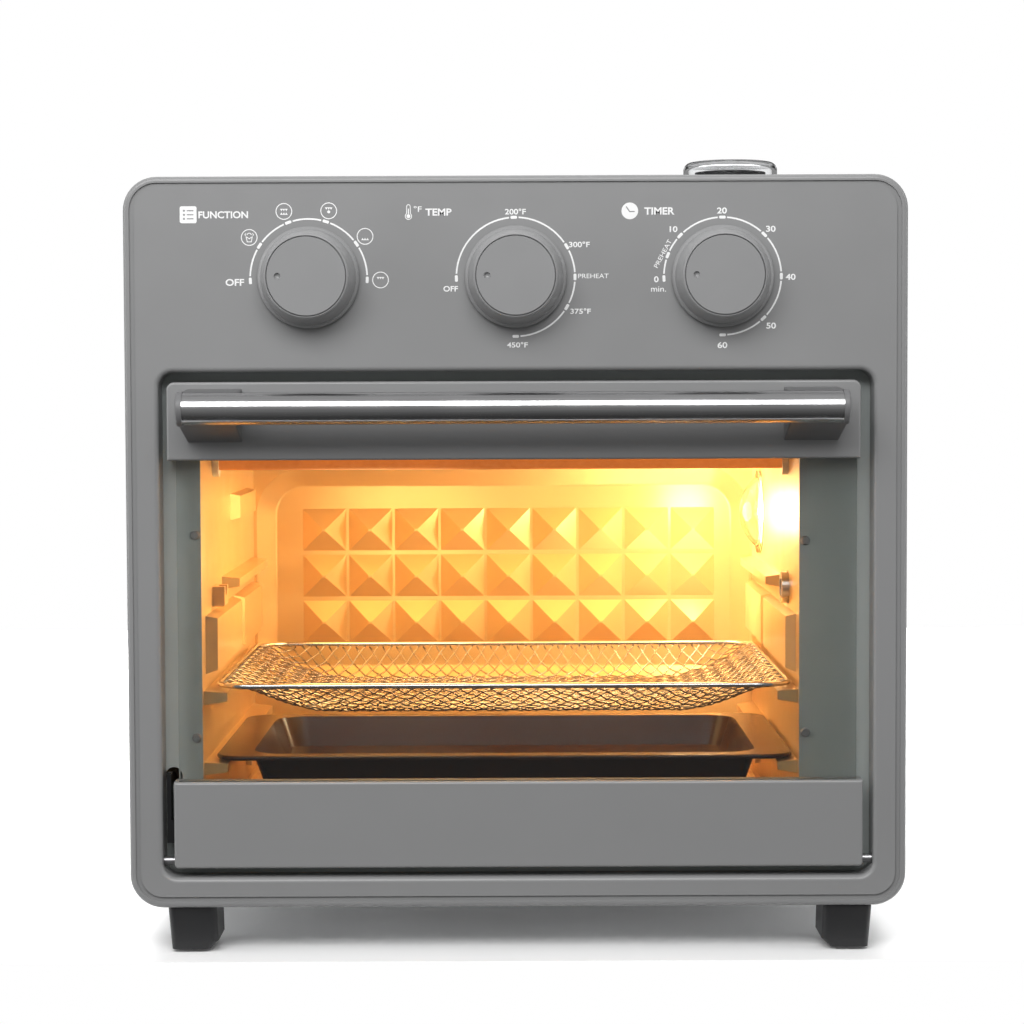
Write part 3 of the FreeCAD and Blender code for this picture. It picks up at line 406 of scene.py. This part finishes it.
class Print:
    """Flat shapes around a dial centre, in millimetres, joined into one thin mesh."""

    def __init__(self, name, centre, material, front):
        self.name = name
        self.centre = centre
        self.material = material
        self.front = front
        self.vertices = []
        self.faces = []

    def level(self, points, y):
        """Add points at one depth and return the first one's number."""
        first = len(self.vertices)
        for x, z in points:
            self.vertices.append((self.centre.x + x * MM, y, self.centre.z + z * MM))
        return first

    def patch(self, outline):
        """Convex shape."""
        count = len(outline)
        front = self.level(outline, self.front)
        back = self.level(outline, INK_BACK)
        self.faces.append(tuple(front + step for step in range(count)))
        self.faces.append(tuple(back + step for step in reversed(range(count))))
        for step in range(count):
            after = (step + 1) % count
            self.faces.append((front + step, back + step, back + after, front + after))

    def strip(self, outer, inner, closed=False):
        """Band between two lines of equal length."""
        count = len(outer)
        rows = [self.level(line, y) for line in (outer, inner) for y in (self.front, INK_BACK)]
        outer_front, outer_back, inner_front, inner_back = rows
        for step in range(count if closed else count - 1):
            after = (step + 1) % count
            self.faces.append((outer_front + step, outer_front + after,
                               inner_front + after, inner_front + step))
            self.faces.append((outer_front + step, outer_back + step,
                               outer_back + after, outer_front + after))
            self.faces.append((inner_front + step, inner_front + after,
                               inner_back + after, inner_back + step))
        if not closed:
            for step in (0, count - 1):
                self.faces.append((outer_front + step, inner_front + step,
                                   inner_back + step, outer_back + step))

    def arc(self, radius, start, end, width, centre=(0.0, 0.0)):
        """Curved band, or a full ring when it spans 360 degrees."""
        steps = max(8, int(abs(end - start) / 5))
        whole = abs(end - start) >= 360
        angles = [start + (end - start) * step / steps for step in range(steps + (not whole))]
        self.strip([polar(radius + width / 2, angle, centre) for angle in angles],
                   [polar(radius - width / 2, angle, centre) for angle in angles], whole)

    def tick(self, radius, angle):
        """Short bar with cut corners on the arc, its long side along the arc."""
        length, width, cut = 3.1, 1.4, 0.35
        turn = math.radians(angle)
        out = Vector((math.cos(turn), math.sin(turn)))
        along = Vector((-math.sin(turn), math.cos(turn)))
        corners = []
        for a, b in ((1, 1), (-1, 1), (-1, -1), (1, -1)):
            shape = [(a * length / 2, b * (width / 2 - cut)), (a * (length / 2 - cut), b * width / 2)]
            corners += shape if a * b > 0 else reversed(shape)
        points = [out * (radius + v) + along * u for u, v in corners]
        self.patch([tuple(point) for point in points])

    def line(self, points, width, closed=False):
        """Polyline of constant width with mitred corners."""
        path = [Vector(point) for point in points]
        count = len(path)
        left, right = [], []
        for index, point in enumerate(path):
            before = path[index - 1] if index or closed else None
            after = path[(index + 1) % count] if index < count - 1 or closed else None
            come = (point - before).normalized() if before is not None else None
            go = (after - point).normalized() if after is not None else None
            come, go = come or go, go or come
            middle = (come + go).normalized()
            normal = Vector((-middle.y, middle.x))
            reach = width / 2 / max(normal.dot(Vector((-come.y, come.x))), 0.4)
            left.append(tuple(point + normal * reach))
            right.append(tuple(point - normal * reach))
        self.strip(left, right, closed)

    def disc(self, centre, radius):
        self.patch([polar(radius, 15 * step, centre) for step in range(24)])

    def rounded(self, centre, half_x, half_z, radius):
        """Rectangle with round corners."""
        x, z = centre
        outline = []
        for index, (sx, sz) in enumerate(((1, 1), (-1, 1), (-1, -1), (1, -1))):
            corner = (x + sx * (half_x - radius), z + sz * (half_z - radius))
            outline += [polar(radius, 90 * index + 22.5 * step, corner) for step in range(5)]
        self.patch(outline)

    def finish(self):
        piece(self.name, self.vertices, self.faces, self.material, "housing")


def lettering(name, text, centre, x, z, width, height, bold=0.0, turn=0.0):
    """Printed words, fitted to a width and height in millimetres around a middle point."""
    curve = bpy.data.curves.new(name, "FONT")
    half_thickness = 1 * MM
    curve.body = text
    curve.size = 10 * MM
    curve.offset = 0.1 * MM * bold
    curve.extrude = half_thickness
    curve.resolution_u = 6
    holder = bpy.data.objects.new(name + "_curve", curve)
    bpy.context.scene.collection.objects.link(holder)
    bpy.context.view_layer.update()
    mesh = bpy.data.meshes.new_from_object(holder.evaluated_get(
        bpy.context.evaluated_depsgraph_get()))
    bpy.data.objects.remove(holder)
    low = [min(v.co[axis] for v in mesh.vertices) for axis in range(2)]
    high = [max(v.co[axis] for v in mesh.vertices) for axis in range(2)]
    middle = Vector(((low[0] + high[0]) / 2, (low[1] + high[1]) / 2, 0))
    fit = (width * MM / (high[0] - low[0]), height * MM / (high[1] - low[1]),
           (INK_BACK - INK_FRONT) / (2 * half_thickness), 1)
    place_at = Vector((centre.x + x * MM, (INK_BACK + INK_FRONT) / 2, centre.z + z * MM))
    mesh.transform(Matrix.Translation(place_at) @ Matrix.Rotation(math.pi / 2, 4, "X")
                   @ Matrix.Rotation(math.radians(turn), 4, "Z")
                   @ Matrix.Diagonal(fit) @ Matrix.Translation(-middle))
    mesh.name = name
    mesh.materials.clear()
    mesh.materials.append(white_ink)
    obj = bpy.data.objects.new(name, mesh)
    bpy.context.scene.collection.objects.link(obj)
    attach(obj, "housing")


def knob_centre(name):
    low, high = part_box(name)
    return (low + high) / 2


def scale(name, centre, radius, angles):
    """Arc broken by a bar at each setting."""
    gap, line_width = 4.6, 0.78
    sheet = Print(name, centre, white_ink, INK_FRONT)
    for angle in angles:
        sheet.tick(radius, angle)
    for start, end in zip(angles, angles[1:]):
        sheet.arc(radius, start - gap, end + gap, line_width)
    return sheet


def heater_sign(sheet, x, z, points_down):
    """Bar with three teeth, the sign for a heater rod."""
    tooth, depth = 1.15, -0.85 if points_down else 0.85
    half = 1.5 * tooth
    thick = 0.3 if points_down else -0.3
    bar = [(x - half, z), (x + half, z), (x + half, z + thick), (x - half, z + thick)]
    sheet.patch(bar if points_down else bar[::-1])
    for index in range(3):
        left = x - half + index * tooth
        shape = [(left + 0.12, z), (left + tooth - 0.12, z), (left + tooth / 2, z + depth)]
        sheet.patch(shape[::-1] if points_down else shape)


def fries(sheet, x, z):
    """A small bucket with a rounded top, the sign for air frying."""
    sheet.line([(x - 1.5, z + 0.5), (x - 0.95, z - 2.1), (x + 0.95, z - 2.1), (x + 1.5, z + 0.5)],
               0.38)
    sheet.line([(x - 1.1, z + 0.15), (x, z - 0.65), (x + 1.1, z + 0.15)], 0.36)
    sheet.arc(1.05, 10, 170, 0.36, (x, z + 0.95))
    sheet.line([(x - 1.75, z + 0.75), (x - 2.0, z + 1.35), (x - 1.5, z + 1.95)], 0.34)
    sheet.line([(x + 1.75, z + 0.75), (x + 2.0, z + 1.35), (x + 1.5, z + 1.95)], 0.34)


def function_print():
    centre = knob_centre("function_knob")
    sheet = scale("function_scale", centre, 27.7, (182.9, 146.8, 110.1, 72.6, 35.1, -2.3))
    both, grill, low, high, fry = (
        (-11.5, 31.3), (9.7, 31.5), (26.8, 19.4), (34.0, -1.2), (-28.0, 19.1))
    for spot in (both, grill, low, high, fry):
        sheet.arc(3.72, 0, 360, 0.42, spot)
    heater_sign(sheet, both[0], both[1] + 0.9, True)
    heater_sign(sheet, both[0], both[1] - 1.3, False)
    heater_sign(sheet, grill[0], grill[1] + 1.3, True)
    sheet.disc((grill[0], grill[1] - 0.5), 0.72)
    heater_sign(sheet, low[0], low[1] - 1.5, False)
    heater_sign(sheet, high[0], high[1] + 1.1, True)
    fries(sheet, *fry)
    list_at = (-56.8, 29.9)
    sheet.rounded(list_at, 4.0, 4.0, 0.9)
    sheet.finish()
    detail = Print("function_list_rows", centre, paint, INK_OVER)
    for row in (1.9, 0.0, -1.9):
        detail.rounded((list_at[0] - 2.0, list_at[1] + row), 0.42, 0.42, 0.15)
        detail.rounded((list_at[0] + 0.95, list_at[1] + row), 1.55, 0.24, 0.1)
    detail.finish()
    lettering("function_off", "OFF", centre, -35.0, -2.1, 8.8, 3.3, 2.6)
    lettering("function_word", "FUNCTION", centre, -40.2, 29.8, 23.5, 3.38, 2.6)


def thermometer(sheet, x, z):
    """Outlined bulb and tube with the liquid inside."""
    outline = [polar(1.5, angle, (x, z - 2.1)) for angle in range(-235, 56, 15)]
    outline += [polar(0.85, angle, (x, z + 2.5)) for angle in range(0, 181, 30)]
    sheet.line(outline, 0.36, closed=True)
    sheet.disc((x, z - 2.1), 0.95)
    sheet.patch([(x - 0.26, z - 1.0), (x + 0.26, z - 1.0), (x + 0.26, z + 1.5), (x - 0.26, z + 1.5)])


def temperature_print():
    centre = knob_centre("temperature_knob")
    sheet = scale("temperature_scale", centre, 28.1, (181.3, 91.6, 30.7, -0.3, -30.7, -90.2))
    thermometer(sheet, -50.6, 30.9)
    sheet.finish()
    for name, text, x, z, width, height, bold in (
        ("temperature_unit", "°F", -46.2, 32.2, 3.8, 2.7, 1.0),
        ("temperature_word", "TEMP", -36.4, 30.7, 12.4, 3.33, 2.6),
        ("temperature_off", "OFF", -30.8, -5.5, 6.9, 2.64, 2.2),
        ("temperature_200", "200°F", 0.0, 30.8, 9.9, 2.78, 1.8),
        ("temperature_300", "300°F", 30.2, 15.2, 9.9, 2.7, 1.8),
        ("temperature_preheat", "PREHEAT", 36.8, 0.3, 14.4, 2.1, 0.3),
        ("temperature_375", "375°F", 30.7, -16.3, 9.7, 2.6, 1.8),
        ("temperature_450", "450°F", 0.7, -32.1, 9.9, 2.6, 1.8),
    ):
        lettering(name, text, centre, x, z, width, height, bold)


def timer_print():
    centre = knob_centre("timer_knob")
    sheet = scale("timer_scale", centre, 27.8, (182.1, 159.0, 136.4, 90.2, 44.8, -0.3, -45.9, -90.0))
    clock = (-43.9, 30.9)
    sheet.disc(clock, 3.96)
    sheet.finish()
    hands = Print("timer_clock_hands", centre, paint, INK_OVER)
    hands.line([(clock[0] - 1.75, clock[1] + 2.1), (clock[0] - 0.1, clock[1] - 0.3),
                (clock[0] + 2.3, clock[1] - 0.3)], 0.5)
    hands.finish()
    for name, text, x, z, width, height, bold, turn in (
        ("timer_word", "TIMER", -29.9, 30.8, 14.3, 3.45, 2.6, 0),
        ("timer_0", "0", -31.4, -1.4, 2.2, 2.85, 2.4, 0),
        ("timer_min", "min.", -30.35, -6.0, 7.1, 2.5, 0.4, 0),
        ("timer_10", "10", -23.2, 22.2, 3.7, 2.8, 2.2, 0),
        ("timer_20", "20", -0.3, 30.9, 4.65, 2.9, 2.4, 0),
        ("timer_30", "30", 22.8, 22.2, 4.55, 2.9, 2.4, 0),
        ("timer_40", "40", 32.2, -0.5, 4.7, 2.9, 2.4, 0),
        ("timer_50", "50", 23.0, -23.5, 4.55, 2.9, 2.4, 0),
        ("timer_60", "60", -0.1, -32.6, 4.65, 2.9, 2.4, 0),
        ("timer_preheat", "PREHEAT", -28.3, 10.7, 14.6, 2.1, 0.3, 62.0),
    ):
        lettering(name, text, centre, x, z, width, height, bold, turn)


function_print()
temperature_print()
timer_print()


# ---------------------------------------------------------------------------
# Floor, light and camera
# ---------------------------------------------------------------------------
def studio_floor():
    """White floor, cut off just in front of the oven so that it throws no light up the face."""
    material = new_material("studio_floor", Base_Color=(0.90, 0.90, 0.90, 1), Roughness=0.9,
                            Emission_Color=(1, 1, 1, 1), Emission_Strength=0.05)[0]
    side, front, back = 1.1, -0.155, 1.5
    mesh = bpy.data.meshes.new("studio_floor")
    mesh.from_pydata([(-side, front, 0), (side, front, 0), (side, back, 0), (-side, back, 0)],
                     [], [(0, 1, 2, 3)])
    mesh.materials.append(material)
    floor = bpy.data.objects.new("studio_floor", mesh)
    bpy.context.scene.collection.objects.link(floor)


def combine(tree, operation, first, second):
    """Arithmetic on two values, each a socket or a number."""
    node = add(tree, "ShaderNodeMath", operation=operation)
    for socket, value in zip(node.inputs, (first, second)):
        if isinstance(value, float):
            socket.default_value = value
        else:
            tree.links.new(value, socket)
    return node.outputs[0]


def studio_world():
    """White where the camera sees it, also through glass; elsewhere grey, darker towards the floor."""
    sky_below, sky_above = 0.05, 0.40
    world = bpy.data.worlds.new("studio")
    world.use_nodes = True
    tree = world.node_tree
    background = tree.nodes["Background"]
    background.inputs["Color"].default_value = (1.0, 1.0, 1.0, 1)
    rays = add(tree, "ShaderNodeLightPath").outputs
    seen = rays["Is Transmission Ray"]
    for depth in ("Diffuse Depth", "Glossy Depth"):
        seen = combine(tree, "MULTIPLY", seen, combine(tree, "LESS_THAN", rays[depth], 0.5))
    seen = combine(tree, "MAXIMUM", rays["Is Camera Ray"], seen)
    axes = add(tree, "ShaderNodeSeparateXYZ")
    tree.links.new(add(tree, "ShaderNodeTexCoord").outputs["Generated"], axes.inputs[0])
    sky = spread(tree, axes.outputs["Z"], sky_below, sky_above, start=-0.9, end=0.8)
    tree.links.new(combine(tree, "MAXIMUM", seen, sky), background.inputs["Strength"])
    bpy.context.scene.world = world


def area_light(name, place_at, aim, size, power, colour=(1, 1, 1), spread_angle=180,
               reflected=True):
    """Soft box of a size in metres, aimed at a point, that shiny surfaces may or may not mirror."""
    data = bpy.data.lights.new(name, "AREA")
    data.shape = "RECTANGLE"
    data.size, data.size_y = size
    data.spread = math.radians(spread_angle)
    data.energy = power
    data.color = colour
    light = bpy.data.objects.new(name, data)
    light.location = place_at
    light.rotation_euler = (Vector(aim) - Vector(place_at)).to_track_quat("-Z", "Y").to_euler()
    light.visible_glossy = reflected
    bpy.context.scene.collection.objects.link(light)


def point_light(name, place_at, power, colour, radius):
    """Small lamp whose own disc isn't seen."""
    data = bpy.data.lights.new(name, "POINT")
    data.energy = power
    data.color = colour
    data.shadow_soft_size = radius
    light = bpy.data.objects.new(name, data)
    light.location = place_at
    light.visible_camera = False
    light.visible_transmission = False
    bpy.context.scene.collection.objects.link(light)


def studio_lights():
    """Key light from the upper left, two strips at the sides, and washes from above."""
    area_light("key", (-0.18, -1.11, 0.96), (0.0, -0.15, 0.26), (1.3, 0.60), 15.8)
    area_light("left_strip", (-1.1, -0.35, 0.45), (-0.18, -0.1, 0.2), (0.30, 1.0), 3.0)
    area_light("right_strip", (1.1, -0.35, 0.45), (0.18, -0.1, 0.2), (0.30, 1.0), 2.5)
    area_light("top", (0.0, 0.35, 1.8), (0.0, 0.15, 0.3), (1.6, 1.0), 14.0, reflected=False)
    area_light("floor_wash", (0.0, 1.3, 1.5), (0.0, 0.9, 0.0), (2.2, 0.9), 38.0, spread_angle=80,
               reflected=False)


def cavity_lights():
    """The oven lamp in front of its glass, the heaters' glow and light thrown back by the left wall."""
    lens_low, lens_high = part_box("lamp_lens")
    lens = (lens_low + lens_high) / 2
    lamp_gap = 22 * MM
    point_light("oven_lamp", (lens_low.x - lamp_gap, lens.y, lens.z), 2.1, (1.0, 0.74, 0.44), 0.014)
    middle_x = (cavity_left + cavity_right) / 2
    middle_y = (cavity_front + cavity_rear) / 2
    area_light("heater_glow", (middle_x, middle_y, cavity_top - 18 * MM), (middle_x, middle_y, 0.0),
               (0.24, 0.18), 0.8, (1.0, 0.52, 0.14))
    point_light("left_glow", (cavity_left + 70 * MM, middle_y - 30 * MM, cavity_top - 60 * MM),
                0.60, (1.0, 0.70, 0.32), 0.05)


def camera():
    """Long lens, slightly above the door, looking a little down."""
    distance, eye_height = 1.200, 0.2701
    pitch, roll = math.radians(2.78), math.radians(-0.23)
    data = bpy.data.cameras.new("camera")
    data.sensor_width = 36.0
    data.lens = 88.79
    data.shift_x = -0.0045
    view = bpy.data.objects.new("camera", data)
    look = Matrix.Rotation(math.pi / 2 - pitch, 4, "X") @ Matrix.Rotation(roll, 4, "Z")
    view.matrix_world = Matrix.Translation((0.0, face_y - distance, eye_height)) @ look
    bpy.context.scene.collection.objects.link(view)
    bpy.context.scene.camera = view


studio_floor()
studio_world()
studio_lights()
cavity_lights()
camera()
bpy.context.scene.view_settings.view_transform = "Standard"
